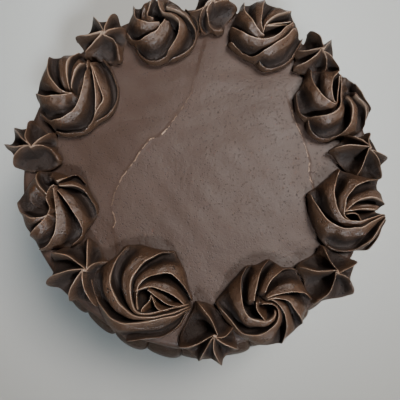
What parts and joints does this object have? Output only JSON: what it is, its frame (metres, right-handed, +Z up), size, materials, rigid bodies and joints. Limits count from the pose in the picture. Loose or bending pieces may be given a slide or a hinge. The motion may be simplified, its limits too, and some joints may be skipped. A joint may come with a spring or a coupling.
{
  "type": "layer cake",
  "caption": "Round chocolate cake coated in brown icing, with large piped swirls and small stars round its top edge and a shell border round its foot.",
  "frame": {"origin": "centre of the cake's underside, where it rests", "axes": "+Z up along the cake's axis; +Y is toward the top of the picture the part was made from, +X to its right"},
  "size_m": [0.243, 0.2434, 0.0962],
  "materials": {
    "icing_coat": "matte chocolate buttercream, spread smooth",
    "icing_piped": "satin chocolate buttercream, piped"
  },
  "bodies": {
    "root": {"cake_body": "icing_coat", "swirl_1": "icing_piped", "swirl_2": "icing_piped", "swirl_3": "icing_piped", "swirl_4": "icing_piped", "swirl_5": "icing_piped", "swirl_6": "icing_piped", "swirl_7": "icing_piped", "swirl_8": "icing_piped", "star_1": "icing_piped", "star_2": "icing_piped", "star_3": "icing_piped", "star_4": "icing_piped", "star_5": "icing_piped", "star_6": "icing_piped", "star_7": "icing_piped", "star_8": "icing_piped", "shell_01": "icing_piped", "shell_02": "icing_piped", "shell_03": "icing_piped", "shell_04": "icing_piped", "shell_05": "icing_piped", "shell_06": "icing_piped", "shell_07": "icing_piped", "shell_08": "icing_piped", "shell_09": "icing_piped", "shell_10": "icing_piped", "shell_11": "icing_piped", "shell_12": "icing_piped", "shell_13": "icing_piped", "shell_14": "icing_piped", "shell_15": "icing_piped", "shell_16": "icing_piped", "shell_17": "icing_piped", "shell_18": "icing_piped", "shell_19": "icing_piped", "shell_20": "icing_piped", "shell_21": "icing_piped", "shell_22": "icing_piped", "shell_23": "icing_piped", "shell_24": "icing_piped", "shell_25": "icing_piped", "shell_26": "icing_piped", "shell_27": "icing_piped", "shell_28": "icing_piped", "shell_29": "icing_piped", "shell_30": "icing_piped"}
  },
  "joints": []
}
